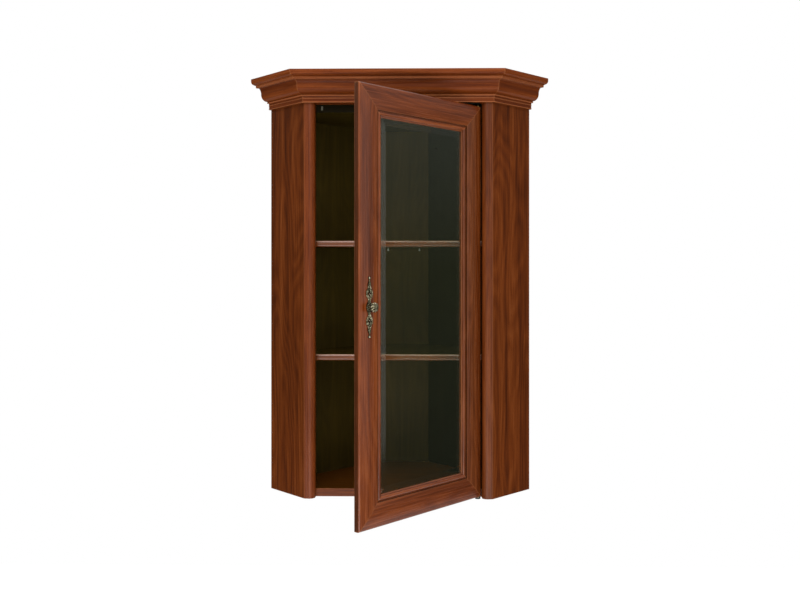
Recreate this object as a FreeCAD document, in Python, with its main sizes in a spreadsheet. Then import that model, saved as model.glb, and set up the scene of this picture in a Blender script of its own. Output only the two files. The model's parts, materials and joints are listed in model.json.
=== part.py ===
"""Corner wall cabinet: a glazed corner cupboard that hangs where two walls meet.

X runs to the right, Y into the room's corner and Z up. The origin is on the cabinet's underside,
on its middle plane, in line with the rear edges of its two sides. Both sides stand at 45 degrees
to the front, so each meets its wall squarely. The door is shown standing open.
"""
import FreeCAD
import Part
import Sketcher
import os
import re

App = FreeCAD
UP = App.Vector(0, 0, 1)
CORNER_TURN = 45

# How a sketch numbers its own origin and the points of a line or circle.
SKETCH_ORIGIN = (-1, 1)
START_POINT, END_POINT, CENTRE_POINT = 1, 2, 3

# Driving sizes, in millimetres, and one angle in degrees.
SIZES = {
    # carcase
    "FrontHalf": 262.4,         # middle plane to the front edge of a side
    "SideRun": 159.4,           # length of a side, front edge to wall
    "CarcaseHeight": 1100,
    "SidePanel": 18,
    "CarcaseBoard": 22,
    "BackPanel": 8,
    "BackGroove": 6,
    "WallGap": 18,              # space behind the back panels, filled by the hanging rails
    "CentreBoard": 18,
    "InnerDepth": 372.7,        # front plane to the face of the centre back
    # corner posts
    "PostWidth": 29.8,
    "PostDepth": 25,
    "PostNose": 10,             # depth at which the rounded nose ends
    "PostCrown": 1.5,           # how far the nose stands in front of the front plane
    "PostCrownIn": 9,
    "PostNoseBulge": 5.4,
    "PostFaceBulge": 0.4,
    # shelves and their pins
    "ShelfBoard": 18,
    "ShelfSetback": 40,
    "ShelfRound": 6,
    "ShelfGap": 1,
    "LowerShelf": 379.5,        # height of the underside
    "UpperShelf": 700.5,
    "PinIn": 28.4,              # centre back's end to a pin's axis
    "PinRadius": 2.5,
    "PinReach": 10,
    "PinDepth": 10,
    "PinFit": 0.05,
    # cornice, out from the carcase and up from its top
    "FootHeight": 24,
    "FootLand": 17,             # width of the foot's flat top
    "FriezeOut": 7.6,
    "FriezeHeight": 14,
    "FilletHollow": 2,
    "QuirkOut": 15.6,
    "QuirkHeight": 22.5,
    "OvoloSwell": 5.4,
    "OvoloOut": 35,
    "OvoloHeight": 40,
    "CoveHollow": 5.3,
    "CoveOut": 52,
    "CoveHeight": 63,
    "SoffitOut": 60,
    "SoffitHeight": 64.5,
    "FasciaSwell": 2.25,
    "CorniceOut": 69,
    "FasciaHeight": 73,
    "CorniceHeight": 80,
    "CorniceLip": 22,
    "BlockLeg": 20,
    "BlockLength": 60,
    "BlockSpread": 170,
    # hanging rails and their wall fixings
    "RailHeight": 80,
    "RailDrop": 40,
    "FixingRadius": 3.5,
    "FixingIn": 60,
    # door
    "DoorSideGap": 2.6,
    "DoorTopGap": 9,            # door's head to the cornice's foot
    "DoorThickness": 19,
    "DoorBottom": 4,            # underside of the cabinet to the door's foot
    "DoorSetback": 1,
    "DoorOpen": 47.5,           # degrees from shut
    "EdgeRound": 5,
    "FaceFall": 2,              # the face's edges lie this far behind its crown
    "FaceWidth": 61,
    "QuirkWidth": 4,
    "QuirkDepth": 5.5,
    "BeadEnd": 75,
    "BeadDepth": 6.5,
    "BeadBulge": 4.2,
    "SightWidth": 78,           # outer edge to the glass
    "SightDepth": 8.5,
    "LipDepth": 9.8,
    "RebateAt": 70,
    "GlassGap": 1,
    "GlassFront": 10.5,         # depth of the pane's edge behind the door's front
    "GlassEdge": 3.5,
    "GlassBevel": 25,
    "BevelRise": 1.6,
    # pivots
    "PivotInset": 9,            # hinge edge to the axis
    "PivotSetback": 7,          # door front to the axis
    "PivotRadius": 2,
    "PivotReach": 12,           # pin inside the door
    "PivotFit": 0.05,
    "BushRadius": 3.6,
    "BushLength": 14,
    "PlateThickness": 3,
    "PlateHalf": 7.5,
    "PlateTail": 56,            # axis to the plate's far end
    "PlateFit": 0.2,
    "WasherRadius": 5,
    "WasherThickness": 0.6,
    "ScrewRadius": 1.6,
    "ScrewHead": 3.2,
    "ScrewLength": 14,
    "ScrewFit": 0.1,
    "ScrewNear": 30,
    "ScrewFar": 46,
    # handle
    "HandleIn": 31,             # free edge to the knob's axis
    "HandleHeight": 546,
    "HandlePlate": 1.8,
    "KnobRadius": 12,
    "KnobReach": 25,
    "KnobCrown": 6,             # radius of the flat of its head
    "KnobDome": 4,
    "KnobRim": 6,
    "KnobNeck": 4.5,
    "KnobFoot": 7,
    "KnobCollar": 2,
    "BoltRadius": 2,
    "BoltHead": 4,
    "BoltHeadHeight": 2.2,
    "BoltDepth": 9,
    "BoltClear": 1,
    # buffer for the door
    "BufferIn": 17.6,           # handle side of the opening to the pad's middle
    "BufferHalfWidth": 2.5,
    "BufferHeight": 11,
    "BufferDrop": 5,
    "BufferGap": 0.4,
    # working allowance
    "Over": 2,                  # how far a cut runs past the piece
}

# Sizes that follow from the driving ones.
DERIVED = {
    "HalfSpan": "FrontHalf + SideRun / sqrt(2)",            # origin to the room's corner
    "FrontY": "-1 * SideRun / sqrt(2)",
    "WallLeg": "HalfSpan * sqrt(2)",                        # room's corner to a side's outer face
    "SideFace": "WallLeg - SidePanel",                      # room's corner to a side's inner face
    "SideInner": "SideFace * sqrt(2) - HalfSpan",           # X less Y on a side's inner face
    "BackFace": "-1 * WallGap - BackPanel",                 # from the wall to a back panel's face
    "BackInner": "HalfSpan - (WallGap + BackPanel) * sqrt(2)",   # X plus Y on a back panel's face
    "CentreY": "FrontY + InnerDepth",
    "CentreRear": "CentreY + CentreBoard",
    "BoardFront": "FrontY + PostDepth",
    "OpeningHalf": "FrontHalf - PostWidth",
    "FootIn": "PostDepth",                                  # the cornice's foot reaches the boards
    "PinSpread": "BackInner - CentreY - PinIn",
    "BufferAcross": "OpeningHalf - BufferIn",
    "DoorWidth": "2 * (OpeningHalf - DoorSideGap)",
    "DoorHeight": "CarcaseHeight - DoorTopGap - DoorBottom",
    "MitreSlope": "tan(22.5)",
    "BackStart": "(2 * (BackInner - CentreRear) - BackInner + HalfSpan) / sqrt(2)",
    "RailTop": "CarcaseHeight - RailDrop",
    "CorniceTop": "CarcaseHeight + CorniceHeight",
    "PivotX": "DoorWidth / 2 - PivotInset",
    "PivotY": "FrontY + DoorSetback + PivotSetback",
    "HingeEdge": "PivotInset",
    "FreeEdge": "PivotInset - DoorWidth",
    "DoorBack": "DoorThickness - PivotSetback",
    "GlassInset": "RebateAt + GlassGap",
    "GlassBack": "GlassFront + GlassEdge",
    "BeadStrip": "DoorThickness - GlassBack",
    "HandleX": "FreeEdge + HandleIn",
    "HandleZ": "HandleHeight - DoorBottom",
}

WORD = re.compile(r"[A-Za-z]\w*")
doc = App.newDocument("corner_wall_cabinet")
sheet = doc.addObject("Spreadsheet::Sheet", "Sizes")
parts = {}


def cell(expression):
    """The expression with each named size written as a cell of the sheet."""
    def written(match):
        word = match.group(0)
        if word in DERIVED:
            return "(" + cell(DERIVED[word]) + ")"
        return "Sizes." + word if word in SIZES else word
    return WORD.sub(written, str(expression))


def value(expression):
    """The expression's value with the sheet's present sizes."""
    return float(sheet.evalExpression(cell(expression)))


def fill_sheet():
    for row, (name, size) in enumerate(SIZES.items(), start=1):
        sheet.set(f"A{row}", name)
        sheet.set(f"B{row}", str(size))
        sheet.setAlias(f"B{row}", name)
    doc.recompute()


# ---- sketches and features ----

def mirrored(corners, side):
    """The same corners for the right (1) or the left (-1) of the middle plane."""
    return [(f"{side} * ({across})", up, *[f"{side} * ({b})" for b in bulge])
            for across, up, *bulge in corners]


def round_bulge(radius):
    """How far a quarter round stands out from its chord."""
    return f"({radius}) * (1 - 1 / sqrt(2))"


def sketch_on(body, plane, level):
    """An empty sketch parallel to one of the body's origin planes."""
    sketch = body.newObject("Sketcher::SketchObject", body.Name + "_sketch")
    planes = [feature for feature in body.Origin.OriginFeatures if feature.Role == plane + "_Plane"]
    sketch.AttachmentSupport = [(planes[0], "")]
    sketch.MapMode = "FlatFace"
    sketch.setExpression(".AttachmentOffset.Base.z", cell(level))
    return sketch


def bind(sketch, constraint, expression):
    """Adds a constraint and ties its value to the sheet."""
    index = sketch.addConstraint(constraint)
    sketch.setExpression(f"Constraints[{index}]", cell(expression))


def point_at(sketch, line, point, across, up):
    """Holds one point of a line or circle at a place measured from the sketch's origin."""
    for kind, distance in (("DistanceX", across), ("DistanceY", up)):
        bind(sketch, Sketcher.Constraint(kind, *SKETCH_ORIGIN, line, point, value(distance)), distance)


def draw_outline(sketch, corners):
    """A closed outline. A corner's third item is how far the line that leaves it bulges outwards,
    where the outline runs anticlockwise."""
    first = sketch.GeometryCount
    count = len(corners)
    points = [App.Vector(value(corner[0]), value(corner[1]), 0) for corner in corners]
    starts = []
    for index in range(count):
        here, there = points[index], points[(index + 1) % count]
        bulge = value(corners[index][2]) if len(corners[index]) > 2 else 0
        if bulge:
            chord = there - here
            outward = App.Vector(chord.y, -chord.x, 0).normalize()
            middle = (here + there) * 0.5 + outward * bulge
            arc = Part.Arc(here, middle, there).toShape().Curve
            circle = Part.Circle(arc.Center, UP, arc.Radius)
            ends = [circle.parameter(point) for point in (here, there)]
            ends = ends if bulge > 0 else ends[::-1]
            sketch.addGeometry(Part.ArcOfCircle(circle, ends[0], ends[1]), False)
            starts.append(START_POINT if bulge > 0 else END_POINT)
        else:
            sketch.addGeometry(Part.LineSegment(here, there), False)
            starts.append(START_POINT)
    for index in range(count):
        following = (index + 1) % count
        last_point = END_POINT if starts[index] == START_POINT else START_POINT
        sketch.addConstraint(Sketcher.Constraint("Coincident", first + index, last_point,
                                                 first + following, starts[following]))
    for index, corner in enumerate(corners):
        point_at(sketch, first + index, starts[index], corner[0], corner[1])
    for index, corner in enumerate(corners):
        if len(corner) > 2 and value(corner[2]):
            after = corners[(index + 1) % count]
            chord = f"((({after[0]}) - ({corner[0]}))^2 + (({after[1]}) - ({corner[1]}))^2)"
            radius = f"{chord} / (8 * abs({corner[2]})) + abs({corner[2]}) / 2"
            bind(sketch, Sketcher.Constraint("Radius", first + index, value(radius)), radius)


def draw_circle(sketch, across, up, radius):
    index = sketch.GeometryCount
    centre = App.Vector(value(across), value(up), 0)
    sketch.addGeometry(Part.Circle(centre, UP, value(radius)), False)
    point_at(sketch, index, CENTRE_POINT, across, up)
    bind(sketch, Sketcher.Constraint("Radius", index, value(radius)), radius)


def grow(body, kind, sketch, length, backwards=False):
    """Pads or pockets a sketch. A pad goes with the sketch's normal and a pocket against it."""
    feature = body.newObject("PartDesign::" + kind, body.Name + "_" + kind.lower())
    feature.Profile = sketch
    feature.Reversed = backwards
    feature.setExpression("Length", cell(length))
    return feature


def prism(label, plane, corners, level, length, backwards=False):
    """A new body: an outline on a plane, padded."""
    body = doc.addObject("PartDesign::Body", label)
    body.Label = label
    sketch = sketch_on(body, plane, level)
    draw_outline(sketch, corners)
    grow(body, "Pad", sketch, length, backwards)
    return body


def cut_outline(body, plane, corners, level, depth, backwards=False):
    sketch = sketch_on(body, plane, level)
    draw_outline(sketch, corners)
    grow(body, "Pocket", sketch, depth, backwards)


def cut_round(body, plane, places, radius, level, depth, backwards=False):
    """Round holes at (across, up) places on a plane."""
    sketch = sketch_on(body, plane, level)
    for across, up in places:
        draw_circle(sketch, across, up, radius)
    grow(body, "Pocket", sketch, depth, backwards)


def turned(label, corners):
    """A new body: an outline on the XY plane, turned about the Y axis."""
    body = doc.addObject("PartDesign::Body", label)
    body.Label = label
    sketch = sketch_on(body, "XY", "0")
    draw_outline(sketch, corners)
    feature = body.newObject("PartDesign::Revolution", label + "_revolution")
    feature.Profile = sketch
    feature.ReferenceAxis = (sketch, ["V_Axis"])
    feature.Angle = 360
    return body


def put(piece, x, y, z, turn=0):
    """Places a piece in the cabinet's frame, turned about Z."""
    piece.Placement = App.Placement(App.Vector(0, 0, 0), App.Rotation(UP, turn))
    piece.setExpression(".Placement.Base.x", cell(x))
    piece.setExpression(".Placement.Base.y", cell(y))
    piece.setExpression(".Placement.Base.z", cell(z))


def put_at_wall(piece, side):
    """Places a piece in a wall's frame: the room's corner is its origin, Y runs into the wall."""
    put(piece, "0", "HalfSpan", "0", -side * CORNER_TURN)


def put_on_door(piece, x="0", y="0", z="0"):
    """Places a piece in the door's frame, whose origin is on the pivot axis at the door's foot."""
    across = f"({x}) * cos(DoorOpen) - ({y}) * sin(DoorOpen)"
    deep = f"({x}) * sin(DoorOpen) + ({y}) * cos(DoorOpen)"
    put(piece, f"PivotX + {across}", f"PivotY + {deep}", f"DoorBottom + {z}", CORNER_TURN)
    piece.setExpression(".Placement.Rotation.Angle", cell("DoorOpen * 1 deg"))


def keep(label, piece):
    """Names a finished sub-part."""
    piece.Label = label
    parts[label] = piece
    return piece


def copies(label, master, count):
    """A node of separate equal solids: links to one master piece."""
    master.Label = label + "_master"
    links = []
    for index in range(count):
        link = doc.addObject("App::Link", f"{label}_{index + 1}")
        link.LinkedObject = master
        links.append(link)
    group = doc.addObject("Part::Compound", label)
    group.Links = links
    keep(label, group)
    return links


SIDES = {"left": -1, "right": 1}


# ---- carcase ----

def plan(front, inset="0"):
    """The carcase's inside in plan, from a front line back to the centre back, clear by inset."""
    slack = f"({inset}) * sqrt(2)"
    back = f"(CentreY - ({inset}))"
    half = [(f"SideInner + ({front}) - {slack}", front),
            (f"(SideInner + BackInner) / 2 - {slack}", "(BackInner - SideInner) / 2"),
            (f"BackInner - {back} - {slack}", back)]
    return half + [(f"-1 * ({x})", y) for x, y in reversed(half)]


def board(label, level):
    return keep(label, prism(label, "XY", plan("BoardFront"), level, "CarcaseBoard"))


def shelf(label, level):
    body = prism(label, "XY", plan("FrontY + ShelfSetback", "ShelfGap"), level, "ShelfBoard")
    doc.recompute()
    front = value("FrontY + ShelfSetback")
    edges = [f"Edge{index + 1}" for index, edge in enumerate(body.Shape.Edges)
             if abs(edge.BoundBox.YMax - front) < 0.01 and edge.BoundBox.XLength > 1]
    plain = body.Tip
    rounding = body.newObject("PartDesign::Fillet", label + "_rounding")
    rounding.Base = (plain, edges)
    rounding.setExpression("Radius", cell("ShelfRound"))
    return keep(label, body)


def bottom_board():
    body = board("bottom_board", "0")
    recess = [("PivotX - PlateHalf - PlateFit", "BoardFront - Over"),
              ("PivotX + PlateHalf + PlateFit", "BoardFront - Over"),
              ("PivotX + PlateHalf + PlateFit", "PivotY + PlateTail + PlateFit"),
              ("PivotX - PlateHalf - PlateFit", "PivotY + PlateTail + PlateFit")]
    cut_outline(body, "XY", recess, "0", "PlateThickness", backwards=True)


def side_panel(name, side):
    """A side: mitred to its post in front, grooved for the back panel behind."""
    corners = mirrored([("WallLeg", "-1 * SideRun"), ("WallLeg", "0"), ("SideFace", "0"),
                        ("SideFace", "SidePanel * MitreSlope - SideRun")], side)
    body = prism("side_" + name, "XY", corners, "0", "CarcaseHeight")
    groove = mirrored([("SideFace - Over", "BackFace"), ("SideFace + BackGroove", "BackFace"),
                       ("SideFace + BackGroove", "-1 * WallGap"), ("SideFace - Over", "-1 * WallGap")], side)
    cut_outline(body, "XY", groove, "CarcaseHeight + Over", "CarcaseHeight + 2 * Over")
    pins = [("-1 * SideRun / 2", f"{level} - PinRadius") for level in ("LowerShelf", "UpperShelf")]
    cut_round(body, "YZ", pins, "PinRadius + PinFit", f"{side} * SideFace", "PinDepth + PinFit",
              backwards=side > 0)
    put_at_wall(body, side)
    keep("side_" + name, body)


def corner_post(name, side):
    """A post with a rounded nose, mitred to the side's front edge and glued along its face."""
    corners = mirrored([
        ("FrontHalf - PostWidth", "FrontY + PostNose", "PostNoseBulge"),
        ("FrontHalf - PostCrownIn", "FrontY - PostCrown", "PostFaceBulge"),
        ("FrontHalf", "FrontY"),
        ("SideInner + FrontY + SidePanel", "FrontY + SidePanel"),
        ("SideInner + BoardFront", "BoardFront"),
        ("FrontHalf - PostWidth", "BoardFront")], side)
    keep("post_" + name, prism("post_" + name, "XY", corners, "0", "CarcaseHeight"))


def fixing_places(side):
    height = "RailTop - RailHeight / 2"
    return [(f"{side} * (BackStart + FixingIn)", height), (f"{side} * (SideFace - FixingIn)", height)]


def back_panel(name, side):
    """A back panel: in the side's groove at one end, on the centre back's bevel at the other."""
    corners = mirrored([("BackStart", "BackFace"), ("SideFace + BackGroove", "BackFace"),
                        ("SideFace + BackGroove", "-1 * WallGap"), ("BackStart", "-1 * WallGap")], side)
    body = prism("back_" + name, "XY", corners, "0", "CarcaseHeight")
    cut_round(body, "XZ", fixing_places(side), "FixingRadius", "WallGap + BackPanel + Over",
              "BackPanel + 2 * Over")
    put_at_wall(body, side)
    keep("back_" + name, body)


def hanging_rail(name, side):
    """A batten behind the back panel, through which the cabinet is screwed to the wall."""
    corners = mirrored([("BackStart", "-1 * WallGap"), ("SideFace", "-1 * WallGap"),
                        ("SideFace", "0"), ("BackStart", "0")], side)
    body = prism("hanging_rail_" + name, "XY", corners, "RailTop - RailHeight", "RailHeight")
    cut_round(body, "XZ", fixing_places(side), "FixingRadius", "WallGap + Over", "WallGap + 2 * Over")
    put_at_wall(body, side)
    keep("hanging_rail_" + name, body)


def centre_back():
    """The narrow board across the corner. Its ends are bevelled to carry the back panels."""
    corners = [("-1 * (BackInner - CentreY)", "CentreY"), ("BackInner - CentreY", "CentreY"),
               ("BackInner - CentreRear", "CentreRear"), ("-1 * (BackInner - CentreRear)", "CentreRear")]
    body = prism("centre_back", "XY", corners, "0", "CarcaseHeight")
    places = [(f"{side} * PinSpread", f"{level} - PinRadius")
              for level in ("LowerShelf", "UpperShelf") for side in SIDES.values()]
    cut_round(body, "XZ", places, "PinRadius + PinFit", "-1 * CentreY", "PinDepth + PinFit")
    keep("centre_back", body)


def shelf_pins():
    """Four pins under each shelf: two in the centre back and one in each side."""
    pin = turned("shelf_pin", [
        ("0", "-1 * PinReach"), ("PinRadius", "-1 * PinReach"), ("PinRadius", "PinDepth"), ("0", "PinDepth")])
    links = copies("shelf_pins", pin, 8)
    for level in ("LowerShelf", "UpperShelf"):
        height = f"{level} - PinRadius"
        for side in SIDES.values():
            put(links.pop(), f"{side} * PinSpread", "CentreY", height)
            put(links.pop(), f"{side} * (SideFace - SideRun / 2) / sqrt(2)",
                "HalfSpan - (SideFace + SideRun / 2) / sqrt(2)", height, -side * 3 * CORNER_TURN)


def door_buffer():
    """A soft pad on the edge of the top board, which the shut door rests on."""
    corners = [("-1 * BufferAcross - BufferHalfWidth", "FrontY + DoorSetback + DoorThickness + BufferGap"),
               ("-1 * BufferAcross + BufferHalfWidth", "FrontY + DoorSetback + DoorThickness + BufferGap"),
               ("-1 * BufferAcross + BufferHalfWidth", "BoardFront"),
               ("-1 * BufferAcross - BufferHalfWidth", "BoardFront")]
    level = "CarcaseHeight - BufferDrop - BufferHeight"
    keep("door_buffer", prism("door_buffer", "XY", corners, level, "BufferHeight"))


# ---- cornice ----

# Section of the moulding: out from the carcase, up from its top, and each curve's bulge.
CORNICE_SECTION = [
    ("-1 * FootIn", "0"),
    ("FriezeOut", "0"),
    ("FriezeOut", "FriezeHeight", "-1 * FilletHollow"),
    ("QuirkOut", "QuirkHeight", "OvoloSwell"),
    ("OvoloOut", "OvoloHeight", "-1 * CoveHollow"),
    ("CoveOut", "CoveHeight"),
    ("SoffitOut", "SoffitHeight", "FasciaSwell"),
    ("CorniceOut", "FasciaHeight"),
    ("CorniceOut", "CorniceHeight"),
    ("CorniceOut - CorniceLip", "CorniceHeight"),
    ("FootLand - FootIn", "FootHeight"),
    ("-1 * FootIn", "FootHeight"),
]


def mitre_waste(end):
    """Plan of what a mitre takes off, where end gives a point from (along, out)."""
    inner = "-1 * FootIn - Over"
    outer = "CorniceOut + Over"
    reach = "(CorniceOut + 2 * Over)"
    return [end(f"({inner}) * MitreSlope", inner), end(f"({outer}) * MitreSlope", outer),
            end(reach, outer), end(reach, inner)]


def cornice_front():
    corners = [(f"FrontY - ({out})", f"CarcaseHeight + {up}", *[f"-1 * ({b})" for b in bulge])
               for out, up, *bulge in CORNICE_SECTION]
    half = "FrontHalf + CorniceOut * MitreSlope"
    body = prism("cornice_front", "YZ", corners, f"-1 * ({half})", f"2 * ({half})")
    for side in SIDES.values():
        waste = mitre_waste(
            lambda along, out, side=side: (f"{side} * (FrontHalf + {along})", f"FrontY - ({out})"))
        cut_outline(body, "XY", waste, "CorniceTop + Over", "CorniceHeight + 2 * Over")
    keep("cornice_front", body)


def cornice_return(name, side):
    """The moulding along a side, mitred in front and square in the wall's plane."""
    corners = mirrored([(f"WallLeg + {out}", f"CarcaseHeight + {up}", *bulge)
                        for out, up, *bulge in CORNICE_SECTION], side)
    body = prism("cornice_" + name, "XZ", corners, "0", "SideRun + CorniceOut * MitreSlope")
    waste = mitre_waste(lambda along, out: (f"{side} * (WallLeg + {out})", f"-1 * (SideRun + {along})"))
    cut_outline(body, "XY", waste, "CorniceTop + Over", "CorniceHeight + 2 * Over")
    put_at_wall(body, side)
    keep("cornice_" + name, body)


def cornice_blocks():
    """Three-cornered glue blocks in the angle between the moulding and the carcase's top."""
    block = prism("cornice_block", "YZ", [("0", "0"), ("BlockLeg", "0"), ("0", "BlockLeg")],
                  "-1 * BlockLength / 2", "BlockLength")
    links = copies("cornice_blocks", block, 5)
    for place in (-1, 0, 1):
        put(links.pop(), f"{place} * BlockSpread", "FrontY + FootIn", "CarcaseHeight")
    for side in SIDES.values():
        along = "(SideRun / 2 - FootIn) / sqrt(2)"
        deep = "(SideRun / 2 + FootIn) / sqrt(2)"
        put(links.pop(), f"{side} * (FrontHalf + {along})", f"FrontY + {deep}", "CarcaseHeight",
            side * CORNER_TURN)


# ---- door ----

# Section of the door's frame: in from the outer edge, back from the front, and each curve's bulge.
FRAME_SECTION = [
    ("0", "DoorThickness"),
    ("0", "FaceFall + EdgeRound", round_bulge("EdgeRound")),
    ("EdgeRound", "FaceFall", "FaceFall"),
    ("FaceWidth", "FaceFall"),
    ("FaceWidth", "QuirkDepth"),
    ("FaceWidth + QuirkWidth", "QuirkDepth", "BeadBulge"),
    ("BeadEnd", "BeadDepth"),
    ("SightWidth", "SightDepth"),
    ("SightWidth", "LipDepth"),
    ("RebateAt", "LipDepth"),
    ("RebateAt", "DoorThickness"),
]


def mitre_ends(body, reach, ends):
    """Cuts both ends at 45 degrees. Each end gives a point from (along the piece, across it)."""
    for end in ends:
        waste = [end("-1 * Over", "-1 * Over"), end("-1 * Over", f"{reach} + Over"),
                 end(f"{reach} + Over", f"{reach} + Over")]
        cut_outline(body, "XZ", waste, "PivotSetback + Over", "DoorThickness + 2 * Over")


def bore_for_bushes(body, ends):
    """The holes for the pivot bushes, which run through the mitred corners."""
    for end in ends:
        level = "0" if end == "foot" else "DoorHeight"
        cut_round(body, "XY", [("0", "0")], "BushRadius + PivotFit", level, "BushLength + PivotFit",
                  backwards=end == "foot")


def door_stile(label, edge, inward):
    corners = [(f"{edge} + {inward} * ({across})", f"{back} - PivotSetback",
                *[f"{inward} * ({b})" for b in bulge])
               for across, back, *bulge in FRAME_SECTION]
    body = prism(label, "XY", corners, "0", "DoorHeight")
    mitre_ends(body, "SightWidth", [
        lambda along, across: (f"{edge} + {inward} * ({across})", along),
        lambda along, across: (f"{edge} + {inward} * ({across})", f"DoorHeight - ({along})")])
    if edge == "HingeEdge":
        bore_for_bushes(body, ["foot", "head"])
    else:
        cut_round(body, "XZ", [("HandleX", "HandleZ")], "BoltRadius + PinFit", "PivotSetback + Over",
                  "DoorThickness + 2 * Over")
    put_on_door(body)
    keep(label, body)


def door_rail(label, edge, inward):
    corners = [(f"{back} - PivotSetback", f"{edge} + {inward} * ({across})",
                *[f"{-inward} * ({b})" for b in bulge])
               for across, back, *bulge in FRAME_SECTION]
    body = prism(label, "YZ", corners, "FreeEdge", "DoorWidth")
    mitre_ends(body, "SightWidth", [
        lambda along, across: (f"FreeEdge + {along}", f"{edge} + {inward} * ({across})"),
        lambda along, across: (f"HingeEdge - ({along})", f"{edge} + {inward} * ({across})")])
    bore_for_bushes(body, ["foot" if inward > 0 else "head"])
    put_on_door(body)
    keep(label, body)


def wedge(body, name, sizes):
    """A block whose front and back faces have their own width and height."""
    block = body.newObject("PartDesign::AdditiveWedge", name)
    for field, expression in sizes.items():
        block.setExpression(field, cell(expression))
    return block


def door_glass():
    """The pane: a flat sheet with a wide bevel all round its front."""
    body = doc.addObject("PartDesign::Body", "door_glass")
    left, right = "FreeEdge + GlassInset", "HingeEdge - GlassInset"
    foot, head = "GlassInset", "DoorHeight - GlassInset"
    full = {"Xmin": left, "Xmax": right, "Zmin": foot, "Zmax": head,
            "X2min": left, "X2max": right, "Z2min": foot, "Z2max": head,
            "Ymin": "GlassFront - PivotSetback", "Ymax": "GlassBack - PivotSetback"}
    wedge(body, "pane_sheet", full)
    bevelled = dict(full, Xmin=left + " + GlassBevel", Xmax=right + " - GlassBevel",
                    Zmin=foot + " + GlassBevel", Zmax=head + " - GlassBevel",
                    Ymin="GlassFront - PivotSetback - BevelRise", Ymax="GlassFront - PivotSetback")
    wedge(body, "pane_bevel", bevelled)
    put_on_door(body)
    keep("door_glass", body)


def glazing_bead(label, end, length):
    """A mitred strip that holds the pane from behind. End gives a point from (along, across)."""
    corners = [end("RebateAt", "RebateAt"), end(f"{length} - RebateAt", "RebateAt"),
               end(f"{length} - SightWidth", "SightWidth"), end("SightWidth", "SightWidth")]
    body = prism(label, "XZ", corners, "-1 * DoorBack", "BeadStrip")
    put_on_door(body)
    keep(label, body)


def glazing_beads():
    glazing_bead("glazing_bead_handle", lambda along, across: (f"FreeEdge + {across}", along), "DoorHeight")
    glazing_bead("glazing_bead_hinge", lambda along, across: (f"HingeEdge - {across}", along), "DoorHeight")
    glazing_bead("glazing_bead_bottom", lambda along, across: (f"FreeEdge + {along}", across), "DoorWidth")
    glazing_bead("glazing_bead_top",
                 lambda along, across: (f"FreeEdge + {along}", f"DoorHeight - {across}"), "DoorWidth")


# ---- handle ----

# A quarter of the backplate's outline: out from its middle line, up from the knob, and bulges.
PLATE_QUARTER = [
    (9.5, 0, 1.4),
    (4, 14, -1),
    (6, 24, 5),
    (4.4, 46, 2.2),
    (1.2, 64, 0),
    (1.2, 69.5, 3),
]
PLATE_TIP = 74
# Pierced leaves: their two points (out, up) and how far either edge bulges.
PLATE_LEAVES = [
    ((1.5, 25), (3.2, 40), 1.5),
    ((-1.5, 25), (-3.2, 40), 1.5),
    ((0, 47), (0, 57), 1.2),
]


def plate_outline():
    """The whole outline, from the quarter: up the right, down the left and round again."""
    right = list(PLATE_QUARTER)
    tip = (0, PLATE_TIP, right[-1][2])
    up_right = right + [tip]
    down_left = mirror_run(up_right, -1, 1)
    down_left_lower = mirror_run(mirror_run(up_right, -1, 1), 1, -1)
    corners = up_right[:-1] + down_left[:-1] + down_left_lower[:-1] + mirror_run(up_right, 1, -1)[:-1]
    return corners


def mirror_run(run, flip_out, flip_up):
    """A run of corners mirrored and taken in the other order, with each bulge on its own line."""
    points = [(flip_out * out, flip_up * up) for out, up, bulge in run][::-1]
    bulges = [bulge for out, up, bulge in run[:-1]][::-1] + [0]
    return [(out, up, bulge) for (out, up), bulge in zip(points, bulges)]


def handle_plate():
    """The pierced backplate, drawn out above and below the knob to a ball at each tip."""
    body = doc.addObject("PartDesign::Body", "handle_plate")
    sketch = sketch_on(body, "XZ", "0")
    draw_outline(sketch, plate_outline())
    draw_circle(sketch, "0", "0", "BoltRadius + PinFit")
    for side in SIDES.values():
        for low, high, bulge in PLATE_LEAVES:
            draw_outline(sketch, [(low[0], side * low[1], side * bulge),
                                  (high[0], side * high[1], side * bulge)])
    grow(body, "Pad", sketch, "HandlePlate")
    put_on_door(body, "HandleX", "-1 * PivotSetback", "HandleZ")
    keep("handle_plate", body)


def handle_knob():
    """A turned knob: collar, neck and a mushroom head."""
    knob = turned("handle_knob", [
        ("0", "0"),
        ("0", "-1 * KnobReach"),
        ("KnobCrown", "-1 * KnobReach"),
        ("KnobRadius", "KnobDome - KnobReach"),
        ("KnobRadius", "KnobDome + KnobRim - KnobReach"),
        ("KnobNeck", "KnobDome + KnobRim - KnobReach"),
        ("KnobNeck", "-1 * KnobCollar"),
        ("KnobFoot", "-1 * KnobCollar"),
        ("KnobFoot", "0")])
    cut_round(knob, "XZ", [("0", "0")], "BoltRadius + PinFit", "0", "BoltDepth + BoltClear", backwards=True)
    put_on_door(knob, "HandleX", "-1 * PivotSetback - HandlePlate", "HandleZ")
    keep("handle_knob", knob)


def handle_screw():
    """The screw from the stile's back into the knob."""
    screw = turned("handle_screw", [
        ("0", "-1 * DoorThickness - HandlePlate - BoltDepth"),
        ("BoltRadius", "-1 * DoorThickness - HandlePlate - BoltDepth"),
        ("BoltRadius", "0"), ("BoltHead", "0"),
        ("BoltHead", "BoltHeadHeight"), ("0", "BoltHeadHeight")])
    put_on_door(screw, "HandleX", "DoorBack", "HandleZ")
    keep("handle_screw", screw)


# ---- pivots ----

def countersink(body, name, x, y, z):
    """A screw hole through a plate, its wide end down."""
    cone = body.newObject("PartDesign::SubtractiveCone", name + "_sink")
    cone.setExpression("Radius1", cell("ScrewHead + ScrewFit"))
    cone.setExpression("Radius2", cell("ScrewRadius + ScrewFit"))
    cone.setExpression("Height", cell("PlateThickness"))
    put(cone, x, y, z)


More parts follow.
